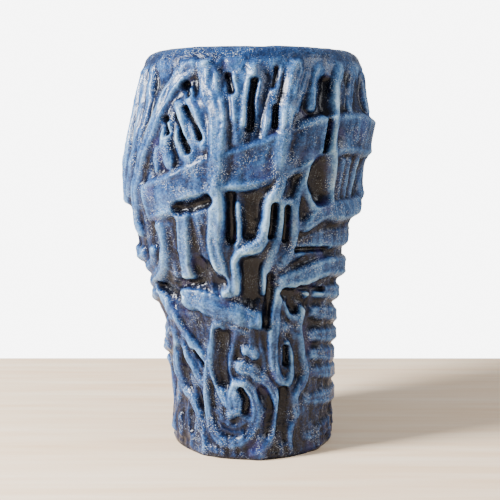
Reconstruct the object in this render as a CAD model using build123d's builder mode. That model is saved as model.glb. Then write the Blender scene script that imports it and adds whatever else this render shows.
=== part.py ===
from build123d import *
from math import cos, radians, sin
import os

os.makedirs("parts", exist_ok=True)

# ---------------------------------------------------------------------------
# Driving dimensions (mm, degrees)
#
# The mug stands on the XY plane with its axis up +Z and its carved face
# towards +X. A place on its side is given as (angle, height): the angle is
# counted round from the face, 0 at the nose and 180 at the back of the head.
# ---------------------------------------------------------------------------
MUG_HEIGHT = 170.0
WALL_TOP = 162.0          # the lip sits on the wall here
WALL_THICKNESS = 5.2
WALL_COURSES = {"neck_wall": (0, 62), "cheek_wall": (62, 116), "crown_wall": (116, WALL_TOP)}
FLOOR_THICKNESS = 8.0
GLAZE_THICKNESS = 0.6     # coat inside the cup
LIP_OUTER_RADIUS = 47.0
LIP_CROWN_RADIUS = 42.0   # radius of the top edge of the mouth
FINEST_SPACING = 2.4      # closest that the sections of a clay lock stand
LOCK_SPACING = 4.8        # and widest, in a lock and in a strap
STRAP_SPACING = 6.0

# height, forward shift of the centre, radius of the plain wall, depth of relief
WALL_STATIONS = [
    (0, 0.0, 35.2, 1.7),
    (10, 0.0, 34.1, 2.7),
    (20, 0.3, 33.3, 3.4),
    (30, -0.3, 33.3, 3.9),
    (40, -1.5, 34.0, 4.2),
    (50, -2.0, 34.8, 4.6),
    (60, -3.2, 36.0, 4.9),
    (70, -3.2, 37.6, 5.0),
    (80, -4.0, 40.4, 5.1),
    (90, -5.2, 43.0, 5.1),
    (100, -5.0, 45.4, 5.3),
    (110, -5.0, 47.1, 5.2),
    (120, -4.3, 48.3, 5.1),
    (130, -1.8, 49.0, 5.3),
    (140, 0.0, 48.6, 5.5),
    (150, 0.0, 46.6, 4.7),
    (WALL_TOP, -0.2, 44.2, 4.2),
]


def wall_at(height):
    """Centre shift, wall radius and relief depth at a height, and their slopes up the wall."""
    for low, high in zip(WALL_STATIONS, WALL_STATIONS[1:]):
        if height <= high[0]:
            break
    step = high[0] - low[0]
    slopes = [(high[k] - low[k]) / step for k in (1, 2, 3)]
    values = [low[k] + slopes[k - 1] * (height - low[0]) for k in (1, 2, 3)]
    return values, slopes


def wall_point(angle, height, proud=0.0):
    """The point on the plain wall at an angle and height, lifted out by proud."""
    (shift, radius, _), _ = wall_at(height)
    reach = radius + proud
    return Vector(shift + reach * cos(radians(angle)), reach * sin(radians(angle)), height)


def wall_normal(point):
    """The wall's outward direction beside a point."""
    (shift, _, _), (shift_slope, radius_slope, _) = wall_at(point.Z)
    across = Vector(point.X - shift, point.Y, 0).normalized()
    return Vector(across.X, across.Y, -(radius_slope + shift_slope * across.X)).normalized()


def spread(values, share):
    """The value a share of the way along an evenly spaced list."""
    place = share * (len(values) - 1)
    index = min(int(place), len(values) - 2)
    return values[index] + (values[index + 1] - values[index]) * (place - index)


def lay(route, widths, rises, square=False, widest=LOCK_SPACING):
    """Loft one lock of clay over the wall along (angle, height) places.

    widths are in mm and rises in shares of the relief depth, both spread evenly
    along the lock. A lock is half round, and a square one is a flat strap.
    """
    rises = rises if isinstance(rises, list) else [rises, rises]
    line = Spline([wall_point(angle, height) for angle, height in route], mode=Mode.PRIVATE)
    mean_width = sum(widths) / len(widths)
    spacing = min(widest, max(FINEST_SPACING, 0.9 * mean_width))
    count = max(4, round(line.length / spacing))
    sections = []
    for step in range(count + 1):
        share = step / count
        point = line.position_at(share)
        along = line.tangent_at(share)
        depth = wall_at(point.Z)[0][2]
        rise = spread(rises, share) * depth
        width = spread(widths, share)
        across = along.cross(wall_normal(point)).normalized()
        with BuildSketch(Plane(origin=point, x_dir=across, z_dir=along)) as section:
            if square:
                RectangleRounded(width, 2 * rise, min(0.32 * width, 0.42 * rise))
            else:
                Ellipse(rise, width / 2, rotation=-90)    # its seam is buried in the wall
        sections.append(section.sketch.face())
    loft(sections=sections)


def finish(part, name):
    """Label a sub-part and write its file."""
    part.label = name
    export_step(part, f"parts/{name}.step")


def tapered_tube(shrink, low, high):
    """Loft a solid through the wall's stations, shrunk inwards by a distance."""
    heights = [low] + [s[0] for s in WALL_STATIONS if low < s[0] < high] + [high]
    sections = []
    for height in heights:
        (shift, radius, _), _ = wall_at(height)
        with BuildSketch(Plane.XY.offset(height)) as section:
            with Locations((shift, 0)):
                Circle(radius - shrink)
        sections.append(section.sketch.face())
    loft(sections=sections)


# ---------------------------------------------------------------------------
# The cup: wall, floor, lip and the glaze inside
# ---------------------------------------------------------------------------
with BuildPart() as wall_blank:
    tapered_tube(0, 0, WALL_TOP)

with BuildPart() as bore:
    tapered_tube(WALL_THICKNESS, 0, WALL_TOP)

with BuildPart() as whole_wall:
    add(wall_blank.part)
    add(bore.part, mode=Mode.SUBTRACT)

with BuildPart() as cup_floor:
    add(bore.part)
    split(bisect_by=Plane.XY.offset(FLOOR_THICKNESS), keep=Keep.BOTTOM)
finish(cup_floor.part, "cup_floor")

with BuildPart() as drink:
    tapered_tube(WALL_THICKNESS + GLAZE_THICKNESS, FLOOR_THICKNESS + GLAZE_THICKNESS, WALL_TOP)

with BuildPart() as liner_glaze:
    add(bore.part)
    split(bisect_by=Plane.XY.offset(FLOOR_THICKNESS), keep=Keep.TOP)
    add(drink.part, mode=Mode.SUBTRACT)
finish(liner_glaze.part, "liner_glaze")

LIP_INNER_RADIUS = wall_at(WALL_TOP)[0][1] - WALL_THICKNESS
with BuildPart() as rim_lip:
    with BuildSketch(Plane.XZ):
        with BuildLine():
            Polyline(
                (LIP_INNER_RADIUS, MUG_HEIGHT - 2),
                (LIP_INNER_RADIUS, WALL_TOP),
                (LIP_OUTER_RADIUS, WALL_TOP),
                (LIP_OUTER_RADIUS - 0.3, MUG_HEIGHT - 5),
            )
            ThreePointArc(
                (LIP_OUTER_RADIUS - 0.3, MUG_HEIGHT - 5),
                (LIP_OUTER_RADIUS - 1.9, MUG_HEIGHT - 1.7),
                (LIP_CROWN_RADIUS, MUG_HEIGHT),
            )
            ThreePointArc(
                (LIP_CROWN_RADIUS, MUG_HEIGHT),
                (LIP_INNER_RADIUS + 0.9, MUG_HEIGHT - 0.5),
                (LIP_INNER_RADIUS, MUG_HEIGHT - 2),
            )
        make_face()
    revolve(axis=Axis.Z)
finish(rim_lip.part, "rim_lip")

# The clay relief is pressed on from outside, so nothing of it reaches in here.
with BuildPart() as core:
    add(wall_blank.part)
    add(rim_lip.part)
    with BuildSketch(Plane.XY.offset(WALL_TOP)):
        Circle(LIP_INNER_RADIUS + 1)
    extrude(amount=MUG_HEIGHT - WALL_TOP - 3)

# ---------------------------------------------------------------------------
# Relief on each side of the head. Every lock is (route, widths, rise). The left
# side, +Y, is made first, and the right side is its mirror image.
# ---------------------------------------------------------------------------
SIDE_RELIEF = {
    "long_lock": [
        ([(118, 163), (126, 159), (131, 154), (135, 147), (138, 140), (141, 132), (144, 124),
          (147, 117), (150, 110), (152, 103), (150, 95)], [6.5, 6, 5.5, 5.3, 5, 4.5, 3.5], 1.0),
        ([(144, 121), (147, 113), (148, 106)], [1.6, 2.4, 1.6], 0.7),
    ],
    "temple_locks": [
        ([(150, 162), (149, 152), (147, 144), (147, 134), (145, 126)], [4, 4, 3.5, 2.5], 0.9),
        ([(158, 162), (156, 150), (153, 140), (152, 130), (154, 120), (158, 111)],
         [4.5, 4.5, 4, 3.5, 3], 1.0),
    ],
    "sideburn_locks": [
        ([(121, 152), (118, 146), (115, 141), (111, 135), (108, 130)], [2.2, 5, 5.2, 3], 0.9),
        ([(126, 147), (122, 139), (120, 133), (117, 128), (112, 124)], [2.2, 5.2, 5.4, 3], 0.85),
        ([(130, 139), (129, 132), (127, 127), (124, 123)], [2, 4.4, 4.2, 2.6], 0.85),
        ([(134, 130), (133, 125), (131, 121)], [1.8, 3, 2.2], 0.75),
    ],
    "main_lock": [
        ([(113, 163), (110, 156), (108, 150), (105, 143), (104, 137), (103, 130), (101, 124),
          (101, 117), (101, 110), (101, 103), (102, 97), (102, 91), (101, 85), (100, 79),
          (99, 73)], [8, 8, 7.4, 6.6, 6, 5.6, 5.4, 5.4, 5, 4.4], 1.15),
    ],
    "forehead_locks": [
        ([(93, 163), (95, 153), (96, 147), (96, 141), (95, 135), (94, 131)],
         [9, 8.5, 6.5, 4.5, 2.5], 0.75),
        ([(90, 161), (91, 154), (92.5, 147), (93.5, 139)], [2.2, 2.4, 2.2, 1.8], 1.0),
        ([(99, 156), (98, 149), (97, 141)], [2, 2.2, 1.8], 0.95),
        ([(77, 161), (80, 151), (82, 145), (84, 139), (84, 133)], [3.2, 3, 2.6, 2], 0.75),
    ],
    "ear_lock": [
        ([(68, 163), (70, 159), (72, 154), (74, 148), (76, 140), (76, 132), (75, 126), (73, 120),
          (74, 114), (77, 109), (78, 104), (78.5, 98), (81, 93), (86, 91), (91, 88), (93, 81),
          (96, 74)], [5, 4.8, 4.4, 4, 3.8, 3.5, 3.3, 3.2, 3.2, 3.2, 3], 1.1),
        ([(63, 162), (66, 156), (69, 150), (72, 144)], [2.2, 2.4, 2.2, 1.8], 0.8),
        ([(92, 109), (91, 101), (90, 93)], [1.5, 1.6, 2], 0.7),
    ],
    "brow_locks": [
        ([(56, 162), (60, 158), (62, 152), (64, 145)], [2.6, 2.6, 2.4, 2], 0.85),
        ([(42, 162), (46, 158), (49, 153), (51, 148), (52, 143), (52, 132), (50, 127),
          (48, 122), (46.5, 115), (45, 109)], [3.4, 3, 2.8, 2.8, 2.8, 2.6], 1.15),
    ],
    "front_locks": [
        ([(31, 161), (35, 154), (38, 149), (40, 144)], [5, 4.4, 3.8, 2.6], 0.85),
        ([(18, 161), (20, 152), (22, 144)], [6, 5, 3.5], 0.85),
    ],
    "ear_pillar": [
        ([(118, 106), (118, 98), (119, 92), (120, 86), (121, 78)], [6, 6, 6, 5.6, 5], 0.95),
        ([(127, 101), (128, 91), (129, 79)], [5, 7, 7.5], 0.6),
        ([(110, 106), (108, 97), (107, 89)], [3.5, 4.5, 3], 0.45),
    ],
    "cheek_locks": [
        ([(133, 100), (131.3, 94), (132.5, 88), (136, 83.5)], [3, 3.2, 3.4, 3.4], 0.95),
        ([(134.5, 85), (140, 81), (146, 78), (153, 75.5), (162, 73.5)], [3.4, 3.8, 4, 4], 0.9),
        ([(141, 89.5), (144.5, 86), (150, 82), (158, 80)], [2.4, 3, 3.2, 3.2], 0.9),
    ],
    "jaw_locks": [
        ([(71, 110), (71, 102), (71, 97), (73, 91), (76, 85), (78, 79), (79, 73)],
         [2, 2.2, 2.4, 2.4, 2], 0.85),
        ([(61, 125), (61, 118), (63.5, 111), (64, 105), (63, 99), (63, 92), (67, 86)],
         [2.4, 2.6, 2.4, 2.4, 2.6], 0.85),
        ([(70.5, 107), (67.5, 110), (64.5, 107)], [2, 2.2, 2], 0.8),
        ([(61, 117), (57.5, 113), (54, 108)], [2.2, 2.6, 3], 0.9),
    ],
    "brace": [
        ([(127, 67.5), (120, 69), (110, 67), (100, 65), (90, 62), (81, 60.5)],
         [7, 9.5, 10.5, 9.5, 8, 6.5], 1.05),
        ([(103, 60), (95, 58), (87, 55.5)], [4, 4.5, 3.5], 0.6),
    ],
    "neck_stem": [
        ([(106, 60), (110, 53), (113, 47), (114, 41), (113, 35), (111, 29), (107, 23.5)],
         [5.6, 5.2, 4.8, 4, 3, 2.6], 0.95),
    ],
    "scroll": [
        ([(117.5, 43), (119, 38), (121.5, 31), (122, 25), (121.5, 18.5), (118.5, 12.5), (113.5, 9),
          (107.5, 7.5), (101, 7.5), (95, 9.5), (90, 14), (88, 20), (88.5, 26), (91.5, 31),
          (96.5, 33), (101.5, 30.5)],
         [1.8, 2, 2, 2.2, 2.6, 3.4, 4, 4.4, 4.4, 4, 3.8, 3.6, 3.4, 3.4, 3.6, 3.6], 1.0),
        ([(102, 32), (101.5, 26), (101, 20)], [4, 6, 4.6], 1.05),
        ([(116, 20), (111, 15.5), (104, 13), (97, 14), (92, 18)], [3, 4.6, 5.2, 4.6, 3], 0.6),
    ],
    "neck_ridges": [
        ([(96, 57), (98, 52), (101, 46), (103, 40), (103, 36)], [1.8, 2.2, 1.8], 0.5),
        ([(88, 55), (88, 51), (87, 46)], [1.6, 1.8, 1.6], 0.5),
        ([(82, 56), (82, 50), (80, 44), (79, 38)], [1.6, 1.8, 1.5], 0.45),
    ],
    "knot_lock": [
        ([(93, 47.5), (89, 47.5), (85.5, 45)], [3, 3, 2.6], 0.8),
        ([(95, 42), (92, 39.6), (88, 38.6), (84, 36.5), (79, 33.2), (75.5, 29.5), (74, 25)],
         [4.6, 4.8, 4, 3.2, 3, 3], 0.9),
        ([(74, 27), (74.5, 22), (76, 16), (77.5, 11), (80, 6.5), (84.5, 4), (91, 3)],
         [3, 2.6, 2.6, 2.6, 2.4, 2], 0.85),
    ],
    "neck_loop": [
        ([(69.5, 74), (70.5, 68), (71.5, 61), (73, 55), (74, 49), (74, 43), (72.5, 37.5),
          (69.5, 34), (66, 33)], [3.6, 4, 4.2, 4.6, 4.6, 4.2, 3.4, 2.6, 1.8], 0.95),
        ([(68, 32.6), (64.2, 33.8), (61.8, 38), (62.5, 44.5), (65, 50)],
         [2.2, 2.4, 2.2, 2, 1.7], 0.85),
    ],
    "border_ridge": [
        ([(52, 71), (53, 64), (55, 58), (54.5, 51), (53, 45), (50.5, 40), (51, 34), (55.5, 30),
          (60, 26)], [1.6, 1.9, 2.2, 2.4, 2.4, 2.8, 3, 2.8, 2.4], 0.9),
        ([(60.5, 27), (60, 22), (58.5, 17.5)], [2.6, 3.6, 2.6], 0.9),
        ([(61, 15), (63.5, 10), (63.5, 4)], [2, 2.2, 2.4], 0.85),
        ([(66, 67), (61, 62.5), (56, 59)], [1.6, 1.8, 1.8], 0.8),
        ([(67, 57.5), (61, 56), (56, 52)], [2.2, 3.6, 3], 0.7),
    ],
    "nape_locks": [
        ([(160, 68), (151, 69.5), (146, 65.5), (141, 61.5), (136, 57), (130, 51), (124, 46.5),
          (119, 43)], [4, 3.8, 3.2, 3, 3, 2.8, 2.6, 2.2], 0.95),
        ([(165, 48), (157, 52), (149, 55.5), (141, 55.5), (134.5, 51.5)], [4, 5, 6.5, 7.5, 6], 0.75),
        ([(144, 54), (144.5, 46), (147, 39), (147, 33), (144.5, 27)], [3, 3, 3.4, 3.8, 3.2], 0.95),
        ([(138, 50), (134, 43), (129, 37), (125, 32)], [3, 3, 2.8, 2.2], 0.8),
    ],
    "heel_locks": [
        ([(147, 30), (152, 25), (158, 20), (162, 14), (164, 6)], [4, 4.2, 4.6, 4.4, 3.6], 0.95),
        ([(145, 27.5), (139, 24.5), (133, 20), (129, 15), (125, 9.5)], [3, 3.2, 3.2, 3, 2.4], 0.9),
        ([(137, 3), (135, 8.5), (130.5, 11.5), (126, 8.5), (124, 3)], [2.2, 2.4, 2.4, 2.2], 0.85),
        ([(153, 13.5), (151, 5)], [3, 4.4, 3.6], 0.6),
    ],
}

for relief_name, locks in SIDE_RELIEF.items():
    with BuildPart() as left_relief:
        for route, widths, rise in locks:
            lay(route, widths, rise)
        add(core.part, mode=Mode.SUBTRACT)
    finish(left_relief.part, f"left_{relief_name}")

    with BuildPart() as right_relief:
        mirror(left_relief.part, about=Plane.XZ)
    finish(right_relief.part, f"right_{relief_name}")


# ---------------------------------------------------------------------------
# Relief that runs across the face or the back of the head. Each route is the
# right half, from its end to the middle, and is carried on round to the left.
# ---------------------------------------------------------------------------
def both_halves(half, middle):
    """Carry a half route over the middle angle, 0 at the face or 180 at the back."""
    return half + [(2 * middle - angle, height) for angle, height in reversed(half[:-1])]


def both_ways(values):
    """Carry a half list of widths or rises back down again."""
    return values + values[-2::-1]


CROSSING_RELIEF = {
    "headband": (0, True, [
        ([(141, 108.5), (130, 110.5), (120, 113.5), (105, 120), (90, 122.8), (80, 126), (70, 129.5),
          (60, 133.8), (50, 135.5), (37, 136.4), (20, 135), (0, 134.6)],
         [14, 15, 14, 13.4, 15.5, 16.4, 16.4, 15, 14.8, 15.6, 14.6, 14.6], [0.85, 0.85]),
    ]),
    "nose_ridge": (0, False, [
        ([(59, 100), (52, 103.5), (46, 105.6), (38, 105.4), (26, 105.2), (12, 105.5), (0, 106)],
         [5, 6.6, 8, 8.6, 8.2, 8, 8], [0.9, 1.1, 1.3, 1.4, 1.4, 1.4, 1.4]),
    ]),
    "upper_lip": (0, False, [
        ([(71, 84), (64, 88.5), (52, 92), (38, 93), (20, 92.6), (0, 92.4)],
         [6, 8, 9, 8.6, 8.4, 8.4], [0.7, 0.9]),
    ]),
    "lower_lip": (0, True, [
        ([(69, 76.5), (61, 78), (50, 79.8), (40, 81), (22, 80), (0, 78.6)],
         [5, 6.6, 7, 7, 7.2, 7.2], [0.9, 1.05]),
    ]),
    "back_bands": (180, False, [
        ([(156, 86), (167, 85), (180, 84.5)], [4.5, 6.5, 7], [0.9, 1.05]),
        ([(163, 68), (171, 66), (180, 65.5)], [4, 5.5, 6], [0.85, 0.95]),
        ([(163, 45), (171, 43), (180, 42.5)], [4, 5.5, 6], [0.85, 0.95]),
    ]),
}
for relief_name, (middle, square, straps) in CROSSING_RELIEF.items():
    with BuildPart() as relief:
        for half, widths, rises in straps:
            route = both_halves(half, middle)
            lay(route, both_ways(widths), both_ways(rises), square, STRAP_SPACING)
        add(core.part, mode=Mode.SUBTRACT)
    finish(relief.part, relief_name)

# Ribs under the chin: height at the front, and height and angle of their ends.
NECK_RIBS = [
    (66.5, 71, 44), (55.8, 62, 45), (47.3, 51.5, 47), (38, 43.5, 46),
    (30.4, 35, 44), (20, 24, 53), (8.8, 8, 54),
]
with BuildPart() as neck_ribs:
    for front, back, reach in NECK_RIBS:
        half = [(reach, back), (0.72 * reach, 0.75 * back + 0.25 * front),
                (0.4 * reach, 0.35 * back + 0.65 * front), (0, front)]
        route = both_halves(half, 0)
        lay(route, both_ways([3.6, 5.4, 6.4, 6.6]), both_ways([0.7, 0.95, 1.0]), widest=STRAP_SPACING)
    add(core.part, mode=Mode.SUBTRACT)
finish(neck_ribs.part, "neck_ribs")

# The nose: one bridge down the middle with folds of skin beside it.
NOSE_FOLDS = [(46.5, 46, 2.4), (41, 38.5, 2.4), (35.5, 31.5, 2.6), (27, 24, 3)]
with BuildPart() as nose:
    lay([(0, 127), (0, 119), (0, 110)], [8, 11, 15], [0.8, 1.1, 1.4], widest=STRAP_SPACING)
    for top, bottom, width in NOSE_FOLDS:
        for side in (1, -1):
            lay([(side * top, 126), (side * (top + bottom) / 2, 118), (side * bottom, 110)],
                [width, width], 0.75)
    add(core.part, mode=Mode.SUBTRACT)
finish(nose.part, "nose")

# Locks down the back of the head, between the two temples.
BACK_LOCKS = [
    ([(167, 162), (166, 150), (163, 138), (161, 126), (163, 115), (166, 108)], [5, 5, 4.5, 4, 3]),
    ([(180, 162), (178, 150), (180, 136), (182, 124), (180, 108)], [6, 6, 5, 4.5, 3.5]),
    ([(193, 162), (194, 150), (197, 138), (199, 126), (197, 115), (194, 108)], [5, 5, 4.5, 4, 3]),
    ([(180, 36), (178, 27), (182, 17), (180, 5)], [5, 6, 6, 5]),
]
with BuildPart() as back_locks:
    for route, widths in BACK_LOCKS:
        lay(route, widths, 1.0, widest=STRAP_SPACING)
    add(core.part, mode=Mode.SUBTRACT)
finish(back_locks.part, "back_locks")

# The wall is built up in three courses of clay, one standing on another.
for course_name, (low, high) in WALL_COURSES.items():
    with BuildPart() as course:
        add(whole_wall.part)
        if high < WALL_TOP:
            split(bisect_by=Plane.XY.offset(high), keep=Keep.BOTTOM)
        if low > 0:
            split(bisect_by=Plane.XY.offset(low), keep=Keep.TOP)
    finish(course.part, course_name)
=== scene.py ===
import math

import bpy
import numpy as np
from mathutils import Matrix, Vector
from mathutils.bvhtree import BVHTree
from mathutils.geometry import delaunay_2d_cdt


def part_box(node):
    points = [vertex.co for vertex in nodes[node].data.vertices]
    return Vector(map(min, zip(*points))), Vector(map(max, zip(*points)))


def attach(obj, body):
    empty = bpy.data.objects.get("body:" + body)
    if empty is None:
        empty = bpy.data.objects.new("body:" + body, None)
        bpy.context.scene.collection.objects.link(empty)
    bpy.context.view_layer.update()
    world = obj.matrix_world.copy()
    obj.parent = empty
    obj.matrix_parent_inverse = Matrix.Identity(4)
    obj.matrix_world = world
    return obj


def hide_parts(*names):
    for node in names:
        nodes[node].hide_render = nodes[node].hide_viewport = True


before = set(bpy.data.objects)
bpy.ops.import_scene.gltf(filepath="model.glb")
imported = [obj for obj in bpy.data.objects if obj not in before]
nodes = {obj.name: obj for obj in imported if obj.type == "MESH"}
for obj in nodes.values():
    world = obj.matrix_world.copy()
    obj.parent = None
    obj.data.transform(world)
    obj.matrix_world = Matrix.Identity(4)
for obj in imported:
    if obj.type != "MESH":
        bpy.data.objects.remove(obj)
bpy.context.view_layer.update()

# The mug's outside is one sheet of clay and glaze. It is measured off the CAD pieces with rays on a
# grid of rows, up the side and over the lip, and columns, round the mug. The sheet is softened and
# carved on that grid, and is then cut up again along the borders of the CAD pieces, so that each
# piece of clay is a closed mesh of its own and neighbours meet exactly. Lengths on the grid are mm.
MM = 0.001
COLUMNS = 760
ROW_STEP, COLUMN_STEP = 0.43, 0.38    # the usual distances between rows and between columns
LIP_CENTRE = (42.8, 164.6)            # radius and height of the middle of the lip's round section
LIP_ROWS, BORE_ROWS = 30, 6
LEAN_IN = 157.5                       # the guide line leans in to the lip's middle from this height
CLEAR = 90.0                          # a distance from the axis that is outside the whole mug
SIDE_REACH, LIP_REACH, BORE_REACH = 60.0, 30.0, 12.0    # how far off the guide line rays start
BEHIND = 8.0                          # and how far past it they still look
INSIDE_NODES = ("liner_glaze", "cup_floor")
NEIGHBOURS = ((0, 1), (0, -1), (1, 0), (-1, 0), (1, 1), (1, -1), (-1, 1), (-1, -1))
random = np.random.default_rng(20)


# --------------------------------------------------------------------------------------------
# Measuring the CAD pieces
# --------------------------------------------------------------------------------------------
def mesh_arrays(thing):
    """A mesh object's points in mm, and its triangles."""
    mesh = thing.data
    mesh.calc_loop_triangles()
    points = np.empty(len(mesh.vertices) * 3)
    mesh.vertices.foreach_get("co", points)
    corners = np.empty(len(mesh.loop_triangles) * 3, dtype=np.int32)
    mesh.loop_triangles.foreach_get("vertices", corners)
    return points.reshape(-1, 3) / MM, corners.reshape(-1, 3)


def ray_tree(names):
    """One search tree over several nodes, with the node number of each of its triangles."""
    points, triangles, owners, start = [], [], [], 0
    for number, name in enumerate(names):
        node_points, node_triangles = mesh_arrays(nodes[name])
        points.append(node_points)
        triangles.append(node_triangles + start)
        owners.append(np.full(len(node_triangles), number))
        start += len(node_points)
    tree = BVHTree.FromPolygons(
        np.concatenate(points).tolist(), np.concatenate(triangles).tolist(), all_triangles=True
    )
    return tree, np.concatenate(owners)


# The courses of the wall count as one piece, under the first one's number.
outer_names = [name for name in sorted(nodes) if name not in INSIDE_NODES]
wall_names = [name for name in outer_names if name.endswith("_wall")]
WALL, LIP = outer_names.index(wall_names[0]), outer_names.index("rim_lip")
outer_tree, outer_owner = ray_tree(outer_names)
outer_owner[np.isin(outer_owner, [outer_names.index(name) for name in wall_names])] = WALL
wall_tree, _ = ray_tree(wall_names)
wall_low = min(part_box(name)[0][2] for name in wall_names) / MM
wall_high = max(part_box(name)[1][2] for name in wall_names) / MM


def wall_circle(height):
    """The plain wall's middle, along X, and its radius at a height."""
    height = min(max(height, wall_low + 0.05), wall_high - 0.05)
    beside_seam = 0.01
    front = wall_tree.ray_cast(Vector((CLEAR, beside_seam, height)), Vector((-1, 0, 0)))[0]
    back = wall_tree.ray_cast(Vector((-CLEAR, beside_seam, height)), Vector((1, 0, 0)))[0]
    return (front.x + back.x) / 2, (front.x - back.x) / 2


side_rows = int((LIP_CENTRE[1] - wall_low) / ROW_STEP)
side_heights = np.linspace(wall_low, LIP_CENTRE[1], side_rows)
circles = np.array([wall_circle(height) for height in side_heights])
near_lip = np.clip((side_heights - LEAN_IN) / (LIP_CENTRE[1] - LEAN_IN), 0, 1)
side_radii = circles[:, 1] * (1 - near_lip) + LIP_CENTRE[0] * near_lip

# The guide line, one row at a time: the middle along X, the radius and height, and the outward
# direction. It goes up the side, round over the lip, and down to where the bore starts.
lip_turn = np.linspace(0, math.pi, LIP_ROWS + 2)[1:-1]
bore_heights = np.linspace(LIP_CENTRE[1], wall_high + 0.02, BORE_ROWS)
rows = np.array(
    [(circles[i, 0], side_radii[i], side_heights[i], 1.0, 0.0) for i in range(side_rows)]
    + [(0.0, *LIP_CENTRE, math.cos(turn), math.sin(turn)) for turn in lip_turn]
    + [(0.0, LIP_CENTRE[0], height, -1.0, 0.0) for height in bore_heights]
)
ROWS = len(rows)
turns = np.arange(COLUMNS) * 2 * math.pi / COLUMNS - math.pi
cosines, sines = np.cos(turns), np.sin(turns)


def cast_outside():
    """How far the CAD surface stands out from the guide line at each grid point, and its node."""
    reaches = [SIDE_REACH] * side_rows + [LIP_REACH] * LIP_ROWS + [BORE_REACH] * BORE_ROWS
    proud = np.zeros((ROWS, COLUMNS))
    owner = np.full((ROWS, COLUMNS), WALL)
    for i, (middle, radius, height, out, up) in enumerate(rows):
        start = reaches[i]
        for j in range(COLUMNS):
            across = Vector((cosines[j] * out, sines[j] * out, up))
            foot = Vector((middle + radius * cosines[j], radius * sines[j], height))
            point, _, index, _ = outer_tree.ray_cast(foot + across * start, -across, start + BEHIND)
            if point is not None:
                proud[i, j] = (point - foot).dot(across)
                owner[i, j] = outer_owner[index]
            else:
                proud[i, j] = np.nan
    return proud, owner


# --------------------------------------------------------------------------------------------
# Working on the grid
# --------------------------------------------------------------------------------------------
def blur(field, size, stretch=1.0):
    """Smooth a field with a soft brush, size mm in spread across and stretch times that up."""
    pad = min(ROWS - 1, int(4 * size * stretch / ROW_STEP) + 2)
    tall = np.concatenate([field[pad:0:-1], field, field[-2:-pad - 2:-1]])
    up = np.fft.fftfreq(tall.shape[0])[:, None] / ROW_STEP
    across = np.fft.rfftfreq(tall.shape[1])[None, :] / COLUMN_STEP
    keep = np.exp(-2 * (math.pi * size) ** 2 * ((up * stretch) ** 2 + across ** 2))
    return np.fft.irfft2(np.fft.rfft2(tall) * keep, s=tall.shape)[pad:pad + ROWS]


def bumps(size, stretch=1.0):
    """Even random lumps of a size in mm, mostly between -2 and 2."""
    field = blur(random.standard_normal((ROWS, COLUMNS)), size, stretch)
    return field / field.std()


def ease(low, high, value):
    """0 below low, 1 above high, and smooth between."""
    share = np.clip((value - low) / (high - low), 0, 1)
    return share * share * (3 - 2 * share)


def edge_distance(owner, furthest):
    """How far in mm each grid point is from the border of its piece, up to furthest."""
    border = np.zeros(owner.shape, dtype=bool)
    for shift, axis in ((1, 0), (-1, 0), (1, 1), (-1, 1)):
        border |= np.roll(owner, shift, axis) != owner
    border[0] = border[-1] = False
    distance = np.where(border, 0.2, furthest)
    for _ in range(int(furthest / COLUMN_STEP)):
        for up, across in NEIGHBOURS:
            step = math.hypot(up * ROW_STEP, across * COLUMN_STEP)
            distance = np.minimum(distance, np.roll(distance, (up, across), (0, 1)) + step)
    return distance


proud, owner = cast_outside()
for i in range(ROWS):    # where a ray found nothing, go by the places beside it
    missing = np.isnan(proud[i])
    if missing.all():
        proud[i] = proud[i - 1]
        owner[i] = owner[i - 1]
    elif missing.any():
        proud[i, missing] = np.interp(
            np.flatnonzero(missing), np.flatnonzero(~missing), proud[i, ~missing], period=COLUMNS
        )
owner[side_rows + 2:] = LIP

edge = edge_distance(owner, 6.0)

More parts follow.
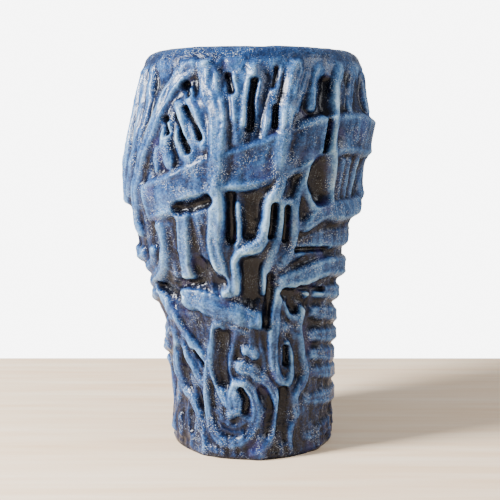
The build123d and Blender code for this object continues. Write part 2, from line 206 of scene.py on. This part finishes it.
# --------------------------------------------------------------------------------------------
# Shaping the clay
# --------------------------------------------------------------------------------------------
# Finer relief than the CAD pieces have, the same on both sides of the head. Each fold and cut has
# a route of (degrees round from the face, height) places and a width, and a fold has a rise.
FOLDS = [
    ([(119, 167), (116, 158), (112, 150), (110, 143), (108, 135)], 3.4, 3.2),
    ([(126, 166), (123, 158), (120, 152)], 3.0, 1.6),
    ([(140, 166), (143, 156), (144, 148)], 3.2, 1.8),
    ([(134, 165), (138, 157), (141, 150)], 2.0, 1.2),
    ([(104, 160), (102, 150), (100, 140), (99, 132)], 2.2, 2.4),
    ([(86, 165), (88, 158), (89, 150), (89.5, 142)], 3.0, 2.2),
    ([(80, 164), (82.5, 157), (84, 149)], 2.2, 1.8),
    ([(73, 164), (76, 156), (78, 148), (79, 141)], 2.0, 1.7),
    ([(66, 166), (68, 158), (70, 149)], 3.2, 2.8),
    ([(61, 164), (63, 156), (65, 147)], 2.4, 2.0),
    ([(56, 165), (55, 159), (57, 153)], 5.5, 1.9),
    ([(44, 152), (43, 146)], 5.0, 1.6),
    ([(36, 158), (32, 150), (30, 144)], 4.5, 1.6),
    ([(137, 142), (135, 134), (132, 127), (131, 120)], 2.4, 1.8),
    ([(143, 137), (141, 128), (139, 119)], 3.2, 1.6),
    ([(124, 119), (114, 122), (106, 126)], 3.0, 2.0),
    ([(97, 108), (97, 99), (96, 91)], 2.2, 1.3),
    ([(88, 111), (86, 104), (86, 97)], 1.6, 0.9),
    ([(108, 105), (108, 96), (107, 88)], 8.0, 2.2),
    ([(129, 103), (134, 95), (137, 89)], 9.0, 1.9),
    ([(142, 104), (145, 97), (148, 91)], 5.0, 1.8),
    ([(91, 93), (92.5, 84), (96, 75)], 2.2, 4.2),
    ([(97, 90), (98, 82), (98.5, 76)], 7.0, 3.4),
    ([(83, 84), (83, 77), (84, 71)], 1.6, 1.0),
    ([(72, 124), (68, 119), (66, 113)], 3.0, 2.0),
    ([(58, 120), (62, 113), (65, 107)], 2.0, 2.0),
    ([(70, 104), (68, 97), (67, 91)], 1.8, 1.5),
    ([(75, 100), (76, 93), (79, 87)], 1.8, 1.6),
    ([(55, 108), (50, 107), (44, 109)], 4.0, 2.2),
    ([(58, 97), (50, 99), (40, 99.5), (28, 99)], 3.2, 1.8),
    ([(60, 85), (50, 86.5), (40, 87), (28, 86.5)], 2.4, 1.4),
    ([(127, 61), (118, 62), (109, 60)], 5.0, 2.2),
    ([(107, 56), (104, 49), (103, 42)], 1.8, 1.2),
    ([(93, 55), (92, 50)], 2.0, 1.2),
    ([(137, 60), (130, 57), (124, 52)], 7.5, 2.0),
    ([(133, 47), (127, 42), (122, 37)], 4.0, 1.6),
    ([(152, 37), (149, 31), (146, 26)], 7.5, 2.4),
    ([(133, 35), (128, 30), (125, 22)], 4.0, 1.6),
    ([(155, 47), (153, 41), (154, 35)], 4.0, 2.0),
    ([(150, 62), (146, 57), (143, 52)], 4.5, 2.0),
    ([(143, 18), (141, 10), (142, 3)], 3.0, 1.4),
    ([(129, 6), (121, 4), (112, 3)], 3.4, 1.6),
    ([(105, 20), (101, 25), (101, 29)], 5.0, 3.6),
    ([(114, 28), (113, 21), (108, 16)], 4.0, 2.0),
    ([(83, 52), (84, 46), (84, 40)], 2.2, 1.3),
    ([(78, 62), (78, 52), (77, 42), (74, 33)], 2.0, 1.2),
    ([(88, 31), (84, 25), (82, 17), (83, 9)], 2.6, 1.5),
    ([(66, 57), (67, 50), (67, 43)], 2.8, 1.8),
    ([(57, 49), (57.5, 42), (57, 36)], 2.0, 1.5),
    ([(66, 22), (67, 14), (67, 6)], 2.2, 1.5),
    ([(56, 14), (52, 12), (46, 12)], 4.0, 1.5),
    ([(54, 24), (48, 28), (42, 29)], 3.6, 1.4),
    ([(50, 50), (44, 50), (38, 51)], 3.0, 1.6),
    ([(50, 37), (44, 36), (36, 36)], 3.6, 1.6),
]
CUTS = [
    ([(119, 106.5), (112, 108), (105.5, 110)], 5.0),
    ([(112, 83), (108, 79), (104, 77)], 7.0),
    ([(134, 73.5), (124, 75.5), (113, 77)], 3.0),
    ([(150, 71.5), (141, 70), (132, 68.5)], 4.0),
    ([(54, 124), (53.5, 117), (51, 112)], 8.0),
    ([(54, 156), (55, 149), (55, 145)], 4.6),
    ([(54.5, 141), (54.5, 135), (54, 129)], 2.2),
    ([(84, 110), (84, 104)], 6.5),
    ([(84.5, 104), (85.5, 97)], 4.6),
    ([(94, 112), (94, 102), (94, 95)], 3.4),
    ([(74.5, 108), (74.5, 101), (75, 96)], 2.6),
    ([(68, 107), (67.5, 100), (67, 94)], 2.2),
    ([(86, 84), (86, 77), (86, 72)], 7.5),
    ([(75, 79), (76, 68), (77, 58)], 3.0),
    ([(66, 71.5), (58, 70), (50, 66)], 4.2),
    ([(61, 67), (59, 64)], 4.0),
    ([(106, 54), (108, 46), (109, 38), (108, 33)], 5.0),
    ([(97, 30.5), (94.5, 26), (95.5, 21)], 2.6),
    ([(83, 30), (79, 22), (80, 12)], 4.0),
    ([(68, 29), (70, 18), (70, 8)], 4.0),
    ([(141, 44), (139, 39), (135, 36)], 4.4),
    ([(131, 28), (128, 21)], 3.0),
    ([(139, 16), (137, 10)], 4.0),
    ([(127, 45), (122, 40)], 2.4),
    ([(65, 48), (65, 41)], 2.4),
    ([(90, 156), (91, 147), (91, 138)], 2.8),
    ([(80, 146), (80.5, 139)], 2.0),
    ([(79, 161), (81, 154)], 1.8),
    ([(126, 143), (121, 135), (116, 129)], 1.8),
    ([(121, 146), (116, 140), (112, 134)], 1.8),
    ([(132, 142), (129, 136)], 1.8),
    ([(124, 155), (121, 151)], 2.4),
    ([(102, 158), (99.5, 152)], 2.4),
    ([(57, 73), (47, 72), (37, 71)], 2.4),
    ([(60, 89.5), (48, 89), (38, 88.5)], 2.0),
]
degrees_round = np.abs(np.degrees(turns))[None, :]
grid_heights = np.where(np.arange(ROWS) < side_rows, rows[:, 2], 500.0)[:, None]
mm_a_degree = np.radians(rows[:, 1])[:, None]


def brush(route, width):
    """1 along the middle of a route, falling smoothly to 0 at half its width either side."""
    nearest = np.full((ROWS, COLUMNS), width)
    for (turn_a, low_a), (turn_b, low_b) in zip(route, route[1:]):
        run = (turn_b - turn_a) * mm_a_degree
        lift = low_b - low_a
        across = (degrees_round - turn_a) * mm_a_degree
        up = grid_heights - low_a
        share = np.clip((across * run + up * lift) / (run ** 2 + lift ** 2), 0, 1)
        nearest = np.minimum(nearest, np.hypot(across - share * run, up - share * lift))
    return np.clip(1 - (2 * nearest / width) ** 2, 0, 1)


def soft_most(first, second, sharpness):
    """The greater of two fields, with the valley between them filled in."""
    return np.log(np.exp(sharpness * first) + np.exp(sharpness * second)) / sharpness


def skirts(field, slope, steps):
    """Let every high place spread down and out at a slope, as soft clay pressed on does."""
    spread = field
    for _ in range(steps):
        tall = np.concatenate([spread[:1], spread, spread[-1:]])
        for up in (-1, 0, 1):
            for across in (-1, 0, 1):
                drop = slope * math.hypot(up * ROW_STEP, across * COLUMN_STEP)
                beside = np.roll(tall, across, 1)[1 + up:1 + up + ROWS]
                spread = np.maximum(spread, beside - drop)
    return spread


FOLD_SPREAD, FOLD_FULLNESS = 1.4, 0.7    # how wide folds are brushed, and how full their sides are
CUT_SPREAD, CUT_SHARE = 1.35, 0.92       # how wide cuts are brushed, and how much clay they take
LOCK_SLOPE, PRESSED_SLOPE = 0.35, 1.35   # how steeply clay falls away from a crest
PRESSED_STEPS = 8
JOINING = 2.8                            # sharpness of the valley where one layer meets another
FILLET = 0.2                             # how far inside the lip's outside the clay under it lies
BEAD, HOLLOW = 0.22, 0.42                # the raised edge of a piece, and the dip inside the edge

on_side = ease(side_rows + 3, side_rows - 5, np.arange(ROWS))[:, None]


def fold_layer():
    """The finer folds, as heights."""
    folds = np.zeros((ROWS, COLUMNS))
    for route, width, rise in FOLDS:
        folds = np.maximum(folds, brush(route, width * FOLD_SPREAD) ** FOLD_FULLNESS * rise)
    return blur(folds, 0.5)


def cut_layer():
    """The share of the clay that is cut away."""
    cuts = np.zeros((ROWS, COLUMNS))
    for route, width in CUTS:
        cuts = np.maximum(cuts, brush(route, width * CUT_SPREAD))
    return CUT_SHARE * blur(cuts, 0.4) * (0.92 + 0.12 * bumps(3.0))


def soft_clay():
    """Round the CAD edges, press in the folds, let clay fill the valleys, and cut the hollows."""
    soft = blur(np.where(on_side > 0.5, skirts(proud, LOCK_SLOPE, 3), proud), 0.5)
    cuts = cut_layer()
    clay = soft_most(soft, fold_layer(), 2.4)
    lip_outer_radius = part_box("rim_lip")[1][0] / MM
    below_lip = np.maximum(lip_outer_radius - FILLET - rows[:, 1], 0)[:, None]
    below_lip = ease(149, 160, grid_heights) * below_lip + 0.25 * bumps(3.0)
    clay = soft_most(clay, below_lip, JOINING)
    clay = soft_most(clay, blur(skirts(clay, PRESSED_SLOPE, PRESSED_STEPS), 0.6) - 0.15, JOINING)
    clay = soft_most(clay, 0.72 * blur(clay, 4.0) + 0.45 * bumps(1.8, 3.0), 2.6)
    clay *= 1 - cuts
    return np.where(on_side > 0, clay * on_side + soft * (1 - on_side), soft)


def carving():
    """A raised edge round every pressed-on piece, and a dip inside it."""
    bead = BEAD * np.exp(-((edge - 1.0) / 0.55) ** 2)
    hollow = HOLLOW * ease(1.2, 2.6, edge)
    return blur(np.where((owner != WALL) & (owner != LIP), bead - hollow, 0.0), 0.3)


def hand_marks():
    """Unevenness from the potter's hands: broad lumps, strokes up the mug, and fine grain."""
    side = 0.30 * bumps(5.0) + 0.16 * bumps(0.9, 5.0) + 0.10 * bumps(1.6) + 0.04 * bumps(0.6)
    lip = 0.10 * bumps(3.0) + 0.03 * bumps(0.8)
    return on_side * side + (1 - on_side) * lip


field = soft_clay() + on_side * carving() + hand_marks()
near_foot = ease(2.6, 0.6, grid_heights)
field = field * (1 - near_foot) + (blur(field, 2.0) - 0.3) * near_foot
field -= ease(1.4, -0.4, grid_heights) * 0.8

# What the glaze goes by: crests lie above their surroundings, and pools lie low on the wall.
GLAZE_FIELDS = {
    "fine_crest": field - blur(field, 0.8),
    "broad_crest": field - blur(field, 3.0),
    "rise": ease(0.2, 4.6, field),
}


# --------------------------------------------------------------------------------------------
# Places in space
# --------------------------------------------------------------------------------------------
def place(lift):
    """The point in space, in mm, of every grid point, lifted from the guide line by lift."""
    middle, radius, height, out, up = (rows[:, k][:, None] for k in range(5))
    reach = radius + out * lift
    return np.stack([middle + reach * cosines, reach * sines, height + up * lift], axis=-1)


GLAZE_THINNEST = 0.15    # nothing dips closer than this to the plain wall, where the pieces sit
SEAT_INTO_WALL = 0.3     # and the lip's piece reaches this far down past the wall's top
wall_lift = np.where(
    np.arange(ROWS) < side_rows,
    np.interp(rows[:, 2], side_heights, circles[:, 1]) - rows[:, 1],
    0.0,
)[:, None]
field = np.maximum(field, wall_lift + GLAZE_THINNEST)
surface = place(field)
seat = place(np.broadcast_to(wall_lift, field.shape))
lip_seat = surface.copy()
lip_seat[..., 2] = wall_high - SEAT_INTO_WALL


def grid_normals(points):
    """Outward directions of the sheet, from the points either side of each point."""
    round_way = np.roll(points, -1, 1) - np.roll(points, 1, 1)
    up_way = np.gradient(points, axis=0)
    normals = np.cross(round_way, up_way)
    return normals / np.linalg.norm(normals, axis=-1, keepdims=True)


normals = grid_normals(surface)


# --------------------------------------------------------------------------------------------
# Cutting the sheet into closed pieces
# --------------------------------------------------------------------------------------------
LATTICE = 8    # grid steps between the points of a piece's hidden seat


def border_edges(mask):
    """The grid edges round a piece's cells, as (row, column) pairs, the piece on their left."""
    below = np.zeros_like(mask)
    below[1:] = mask[:-1]
    above = np.zeros_like(mask)
    above[:-1] = mask[1:]
    sides = (
        (mask & ~below, (0, 0), (0, 1)),
        (mask & ~np.roll(mask, -1, 1), (0, 1), (1, 1)),
        (mask & ~above, (1, 1), (1, 0)),
        (mask & ~np.roll(mask, 1, 1), (1, 0), (0, 0)),
    )
    edges = []
    for cells, first, second in sides:
        where = np.argwhere(cells)
        edges.append(np.stack([where + first, where + second], axis=1))
    return np.concatenate(edges)


def seam_edges(mask):
    """The edges at the back of the mug, where the grid's first and last columns meet."""
    where = np.flatnonzero(mask[:, 0] & mask[:, -1])
    edges = [((i, j), (i + 1, j)) for i in where for j in (0, COLUMNS)]
    return np.array(edges, dtype=int).reshape(-1, 2, 2)


def seat_triangles(mask, edges):
    """Triangles, as (row, column) corners, that close a piece where it sits on the wall."""
    inside = mask.copy()
    for up, across in NEIGHBOURS:
        inside &= np.roll(mask, (2 * up, 2 * across), (0, 1))
    inside[:3] = inside[-3:] = False
    inside[:, :3] = inside[:, -3:] = False
    lattice = np.argwhere(inside)
    lattice = lattice[(lattice[:, 0] % LATTICE == 0) & (lattice[:, 1] % LATTICE == 0)]
    corners, numbers = np.unique(
        np.concatenate([edges.reshape(-1, 2), lattice]), axis=0, return_inverse=True
    )
    numbers = numbers.reshape(-1)[: len(edges) * 2].reshape(-1, 2)
    points = [Vector((float(j), float(i))) for i, j in corners]
    found, _, faces, _, _, _ = delaunay_2d_cdt(points, numbers.tolist(), [], 0, 1e-6)
    places = np.rint(np.array([(p.y, p.x) for p in found])).astype(int)
    triangles = places[np.array(faces)]
    row, column = triangles.mean(axis=1).astype(int).T
    return triangles[mask[np.clip(row, 0, ROWS - 2), np.clip(column, 0, COLUMNS - 1)]]


def grid_number(corners):
    """One number for each (row, column), the same either side of the seam."""
    return corners[..., 0] * COLUMNS + corners[..., 1] % COLUMNS


def cut_piece(name, mask, seat_points):
    """Make the closed mesh of one piece: its outside, its seat, and the sides between."""
    cells = np.argwhere(mask)
    quads = np.stack([cells, cells + (0, 1), cells + (1, 1), cells + (1, 0)], axis=1)
    edges = border_edges(mask)
    under = seat_triangles(mask, np.concatenate([edges, seam_edges(mask)]))
    total = ROWS * COLUMNS
    outside = grid_number(quads)
    around = grid_number(edges)
    sides = np.concatenate([around[:, ::-1], around + total], axis=1)
    floor = grid_number(under)[:, ::-1] + total
    loops = np.concatenate([outside.ravel(), sides.ravel(), floor.ravel()])
    used, loops = np.unique(loops, return_inverse=True)
    points = np.concatenate([surface.reshape(-1, 3), seat_points.reshape(-1, 3)])[used] * MM
    sizes = np.repeat([4, 3], [len(outside) + len(sides), len(floor)]).astype(np.int32)
    starts = np.cumsum(sizes) - sizes
    mesh = bpy.data.meshes.new(name)
    mesh.vertices.add(len(points))
    mesh.vertices.foreach_set("co", points.ravel())
    mesh.loops.add(len(loops))
    mesh.loops.foreach_set("vertex_index", loops.astype(np.int32).ravel())
    mesh.polygons.add(len(sizes))
    mesh.polygons.foreach_set("loop_start", starts.astype(np.int32))
    smooth = np.zeros(len(sizes), dtype=bool)
    smooth[: len(outside)] = True
    mesh.update(calc_edges=True)
    mesh.polygons.foreach_set("use_smooth", smooth)
    for title, values in GLAZE_FIELDS.items():
        layer = mesh.attributes.new(title, "FLOAT", "POINT")
        both = np.concatenate([values.ravel(), values.ravel()])[used]
        layer.data.foreach_set("value", both.astype(np.float32))
    face_normals = np.empty(len(sizes) * 3)
    mesh.polygons.foreach_get("normal", face_normals)
    loop_normals = np.repeat(face_normals.reshape(-1, 3), sizes, axis=0)
    shown = len(outside) * 4
    loop_normals[:shown] = normals.reshape(-1, 3)[outside.ravel()]
    mesh.normals_split_custom_set(loop_normals.tolist())
    piece = bpy.data.objects.new(name, mesh)
    bpy.context.scene.collection.objects.link(piece)
    return piece


cell_owner = owner[:-1].copy()
pieces = []
for number, node in enumerate(outer_names):
    if node in wall_names[1:]:
        continue
    mask = cell_owner == number
    if number == WALL:
        piece = cut_piece("pooled_glaze", mask, seat)
    else:
        piece = cut_piece(f"{node}_clay", mask, lip_seat if number == LIP else seat)
        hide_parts(node)
    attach(piece, "mug")
    pieces.append(piece)


# --------------------------------------------------------------------------------------------
# Materials
# --------------------------------------------------------------------------------------------
class Shader:
    """A short way to write a material's node tree."""

    def __init__(self, name):
        self.material = bpy.data.materials.new(name)
        self.material.use_nodes = True
        self.tree = self.material.node_tree
        self.surface = self.tree.nodes["Principled BSDF"]
        self.place = self.add("ShaderNodeTexCoord").outputs["Object"]

    def add(self, kind, **settings):
        node = self.tree.nodes.new(kind)
        for key, value in settings.items():
            setattr(node, key, value)
        return node

    def join(self, source, socket):
        if isinstance(source, (int, float, tuple)):
            socket.default_value = source
        else:
            self.tree.links.new(source, socket)

    def times(self, first, second):
        node = self.add("ShaderNodeMath", operation="MULTIPLY")
        self.join(first, node.inputs[0])
        self.join(second, node.inputs[1])
        return node.outputs[0]

    def scaled(self, value, scale, plus):
        """value * scale + plus."""
        node = self.add("ShaderNodeMath", operation="MULTIPLY_ADD")
        for part, socket in zip((value, scale, plus), node.inputs):
            self.join(part, socket)
        return node.outputs[0]

    def noise(self, size, detail=2.0, roughness=0.5, stretch=(1, 1, 1), contrast=None):
        """Cloudy noise whose lumps are about size mm, or its 0 to 1 step between two levels."""
        mapping = self.add("ShaderNodeMapping")
        mapping.inputs["Scale"].default_value = [1 / (size * MM) * part for part in stretch]
        self.join(self.place, mapping.inputs["Vector"])
        node = self.add("ShaderNodeTexNoise")
        node.inputs["Scale"].default_value = 1.0
        node.inputs["Detail"].default_value = detail
        node.inputs["Roughness"].default_value = roughness
        self.join(mapping.outputs[0], node.inputs["Vector"])
        if contrast is None:
            return node.outputs["Fac"]
        return self.step(node.outputs["Fac"], *contrast)

    def step(self, value, low, high, start=0.0, end=1.0):
        """A smooth change from start, where value is low, to end, where it is high."""
        node = self.add("ShaderNodeMapRange", interpolation_type="SMOOTHSTEP")
        for name, part in (("Value", value), ("From Min", low), ("From Max", high),
                           ("To Min", start), ("To Max", end)):
            self.join(part, node.inputs[name])
        return node.outputs[0]

    def cells(self, size):
        """Random spots size mm apart: the Distance from the nearest, and its Color."""
        node = self.add("ShaderNodeTexVoronoi")
        node.inputs["Scale"].default_value = 1 / (size * MM)
        self.join(self.place, node.inputs["Vector"])
        return node.outputs

    def field(self, name):
        """One of the GLAZE_FIELDS."""
        return self.add("ShaderNodeAttribute", attribute_name=name).outputs["Fac"]

    def ramp(self, value, stops):
        node = self.add("ShaderNodeValToRGB")
        elements = node.color_ramp.elements
        while len(elements) < len(stops):
            elements.new(0.5)
        for element, (position, colour) in zip(elements, stops):
            element.position = position
            element.color = (*colour, 1)
        self.join(value, node.inputs[0])
        return node.outputs[0]

    def mix(self, share, first, second, blend="MIX"):
        node = self.add("ShaderNodeMix", data_type="RGBA", blend_type=blend)
        colours = [s for s in node.inputs if s.type == "RGBA"]
        self.join(share, node.inputs[0])
        self.join(first, colours[0])
        self.join(second, colours[1])
        return [s for s in node.outputs if s.type == "RGBA"][0]

    def bump(self, height, distance, below=None):
        node = self.add("ShaderNodeBump")
        node.inputs["Distance"].default_value = distance * MM
        self.join(height, node.inputs["Height"])
        if below is not None:
            self.join(below, node.inputs["Normal"])
        return node.outputs[0]


NIGHT_BLUE = (0.002, 0.004, 0.016, 1)
VIOLET = (0.028, 0.022, 0.105, 1)
# The pale fleck colour: partly the glaze's own white flecks and partly painted glints, sparkle off
# the glossy glaze painted into the colour.
FLECK_AND_GLINT_WHITE = (0.66, 0.76, 0.84, 1)
IRON = (0.045, 0.025, 0.015, 1)


def glaze_tone(glaze):
    """0 where the glaze pools dark, 1 where it breaks pale: by the relief, and mottled."""
    tone = glaze.scaled(glaze.field("rise"), 0.28, 0.185)
    tone = glaze.scaled(glaze.field("broad_crest"), 0.14, tone)
    tone = glaze.scaled(glaze.field("fine_crest"), 0.32, tone)
    clouds, mottle = glaze.noise(9.0, 3), glaze.noise(1.0, 4, 0.75)
    runs = glaze.noise(2.2, 3, 0.6, stretch=(1, 1, 0.22))
    for noise, strength in ((clouds, 0.50), (mottle, 0.80), (runs, 0.36)):
        tone = glaze.scaled(noise, strength, glaze.scaled(tone, 1.0, -strength / 2))
    return tone


def flecks_and_painted_glints(glaze, tone):
    """Where small pale flecks lie, partly the glaze's own flecks and partly painted glints: in
    drifts, on some spots, and fewest where the glaze pools.
    """
    drifts = glaze.noise(6.0, 3, contrast=(0.44, 0.64))
    spots = glaze.cells(0.40)
    chosen = glaze.add("ShaderNodeSeparateColor")
    glaze.join(spots["Color"], chosen.inputs[0])
    fleck_and_glint_share = glaze.step(spots["Distance"], 0.42, 0.16)
    fleck_and_glint_share = glaze.times(fleck_and_glint_share, glaze.step(chosen.outputs[0], 0.35, 0.80))
    fleck_and_glint_share = glaze.times(fleck_and_glint_share, glaze.scaled(drifts, 0.92, 0.08))
    return glaze.times(fleck_and_glint_share, glaze.step(tone, 0.08, 0.34, 0.25, 1.0))


def blue_glaze():
    """Mottled blue glaze: near black where it pools, and pale and flecked where it breaks, the pale
    flecks partly painted glints.
    """
    glaze = Shader("blue_glaze")
    tone = glaze_tone(glaze)
    colour = glaze.ramp(tone, [
        (0.06, (0.0008, 0.0014, 0.0060)),
        (0.24, (0.0030, 0.0080, 0.0320)),
        (0.42, (0.0100, 0.0310, 0.0980)),
        (0.58, (0.0280, 0.0800, 0.2050)),
        (0.76, (0.0850, 0.1900, 0.3650)),
        (1.00, (0.2600, 0.4200, 0.5900)),
    ])
    violet_patches = glaze.noise(11.0, 2, contrast=(0.58, 0.72))
    colour = glaze.mix(glaze.times(violet_patches, 0.35), colour, VIOLET)
    dark_specks = glaze.step(glaze.cells(0.75)["Distance"], 0.32, 0.18)
    dark_specks = glaze.times(dark_specks, glaze.noise(2.5, 2, contrast=(0.44, 0.56)))
    colour = glaze.mix(glaze.times(dark_specks, 0.75), colour, NIGHT_BLUE)
    # Pale flecks, partly the glaze's own and partly painted glints standing in for sparkle off the
    # gloss.
    colour = glaze.mix(flecks_and_painted_glints(glaze, tone), colour, FLECK_AND_GLINT_WHITE)
    glaze.join(colour, glaze.surface.inputs["Base Color"])
    glaze.join(glaze.scaled(glaze.noise(0.8, 3), 0.26, 0.08), glaze.surface.inputs["Roughness"])
    glaze.surface.inputs["Specular IOR Level"].default_value = 0.16
    glaze.surface.inputs["Coat Weight"].default_value = 0.12
    glaze.surface.inputs["Coat Roughness"].default_value = 0.05
    ripples = glaze.bump(glaze.noise(2.2, 2), 0.26)
    normal = glaze.bump(glaze.noise(0.55, 2, 0.5), 0.13, ripples)
    glaze.join(normal, glaze.surface.inputs["Normal"])
    return glaze.material


def liner_glaze():
    """The plain dark blue glaze inside the cup."""
    glaze = Shader("liner_glaze")
    tone = glaze.scaled(glaze.noise(1.5, 4, 0.6), 0.5, 0.05)
    colour = glaze.ramp(tone, [
        (0.10, (0.010, 0.020, 0.060)), (0.35, (0.030, 0.075, 0.200)), (0.70, (0.120, 0.240, 0.450)),
    ])
    glaze.join(colour, glaze.surface.inputs["Base Color"])
    glaze.join(glaze.scaled(glaze.noise(4.0, 2), 0.12, 0.08), glaze.surface.inputs["Roughness"])
    glaze.surface.inputs["Coat Weight"].default_value = 0.5
    glaze.join(glaze.bump(glaze.noise(6.0, 2), 0.3), glaze.surface.inputs["Normal"])
    return glaze.material


def bare_clay():
    """Unglazed stoneware, wiped clean, with fine grog and a few iron spots."""
    clay = Shader("bare_clay")
    colour = clay.ramp(clay.noise(1.8, 5, 0.7), [
        (0.30, (0.150, 0.095, 0.060)), (0.55, (0.260, 0.185, 0.125)), (0.75, (0.360, 0.280, 0.200)),
    ])
    spots = clay.step(clay.cells(2.6)["Distance"], 0.20, 0.10)
    colour = clay.mix(clay.times(spots, 0.7), colour, IRON)
    clay.join(colour, clay.surface.inputs["Base Color"])
    clay.join(clay.scaled(clay.noise(0.7, 2), 0.2, 0.68), clay.surface.inputs["Roughness"])
    clay.join(clay.bump(clay.noise(0.6, 4, 0.7), 0.18), clay.surface.inputs["Normal"])
    return clay.material


outer_glaze, inner_glaze, raw_clay = blue_glaze(), liner_glaze(), bare_clay()
for piece in pieces:
    piece.data.materials.append(outer_glaze)
kept_nodes = [(name, raw_clay) for name in (*wall_names, "cup_floor")]
for name, material in (*kept_nodes, ("liner_glaze", inner_glaze)):
    nodes[name].data.materials.clear()
    nodes[name].data.materials.append(material)


# --------------------------------------------------------------------------------------------
# Stage, lights and camera
# --------------------------------------------------------------------------------------------
TABLE_LEFT, TABLE_RIGHT, TABLE_FRONT, TABLE_BACK = -4, 4, -6, 0.137    # metres
SKY_COLOUR, SKY_STRENGTH = (0.93, 0.95, 1.0, 1), 0.42
BACKDROP_STRENGTH = 9.0               # the white behind the mug, which only the camera sees
LIT_POINT = (0, 0, 0.09)
LAMPS = [    # name, place, size, power
    ("window", (-0.72, -0.30, 0.50), (0.20, 0.30), 34.0),
    ("fill", (0.70, -0.25, 0.40), (0.40, 0.50), 4.5),
]
CAMERA_PLACE, CAMERA_DIP, CAMERA_LENS = (-0.0011, -0.398, 0.136), 0.129, 64.66


def stage_floor():
    mesh = bpy.data.meshes.new("floor")
    corners = [
        (TABLE_LEFT, TABLE_FRONT, 0), (TABLE_RIGHT, TABLE_FRONT, 0),
        (TABLE_RIGHT, TABLE_BACK, 0), (TABLE_LEFT, TABLE_BACK, 0),
    ]
    mesh.from_pydata(corners, [], [(0, 1, 2, 3)])
    floor = bpy.data.objects.new("floor", mesh)
    bpy.context.scene.collection.objects.link(floor)
    wood = Shader("pale_wood")
    grain = wood.noise(9.0, 4, 0.6, stretch=(0.06, 1, 1))
    colour = wood.ramp(grain, [(0.3, (0.84, 0.60, 0.38)), (0.7, (0.95, 0.78, 0.59))])
    wood.join(colour, wood.surface.inputs["Base Color"])
    wood.surface.inputs["Roughness"].default_value = 0.6
    mesh.materials.append(wood.material)


def soft_light(name, place, size, power):
    lamp = bpy.data.lights.new(name, "AREA")
    lamp.shape = "RECTANGLE"
    lamp.size, lamp.size_y = size
    lamp.energy = power
    holder = bpy.data.objects.new(name, lamp)
    holder.location = place
    aim = Vector(LIT_POINT) - Vector(place)
    holder.rotation_euler = aim.to_track_quat("-Z", "Y").to_euler()
    bpy.context.scene.collection.objects.link(holder)


def light_scene():
    world = bpy.data.worlds.new("studio")
    bpy.context.scene.world = world
    world.use_nodes = True
    nodes_of_world = world.node_tree.nodes
    sky = nodes_of_world["Background"]
    sky.inputs["Color"].default_value = SKY_COLOUR
    sky.inputs["Strength"].default_value = SKY_STRENGTH
    backdrop = nodes_of_world.new("ShaderNodeBackground")
    backdrop.inputs["Strength"].default_value = BACKDROP_STRENGTH
    seen = nodes_of_world.new("ShaderNodeLightPath")
    mixed = nodes_of_world.new("ShaderNodeMixShader")
    links = world.node_tree.links
    links.new(seen.outputs["Is Camera Ray"], mixed.inputs[0])
    links.new(sky.outputs[0], mixed.inputs[1])
    links.new(backdrop.outputs[0], mixed.inputs[2])
    links.new(mixed.outputs[0], nodes_of_world["World Output"].inputs["Surface"])
    for lamp in LAMPS:
        soft_light(*lamp)


def set_camera():
    lens = bpy.data.cameras.new("camera")
    lens.sensor_width = 36
    lens.lens = CAMERA_LENS
    holder = bpy.data.objects.new("camera", lens)
    holder.location = CAMERA_PLACE
    holder.rotation_euler = (math.pi / 2 - CAMERA_DIP, 0, 0)
    bpy.context.scene.collection.objects.link(holder)
    bpy.context.scene.camera = holder


stage_floor()
light_scene()
set_camera()
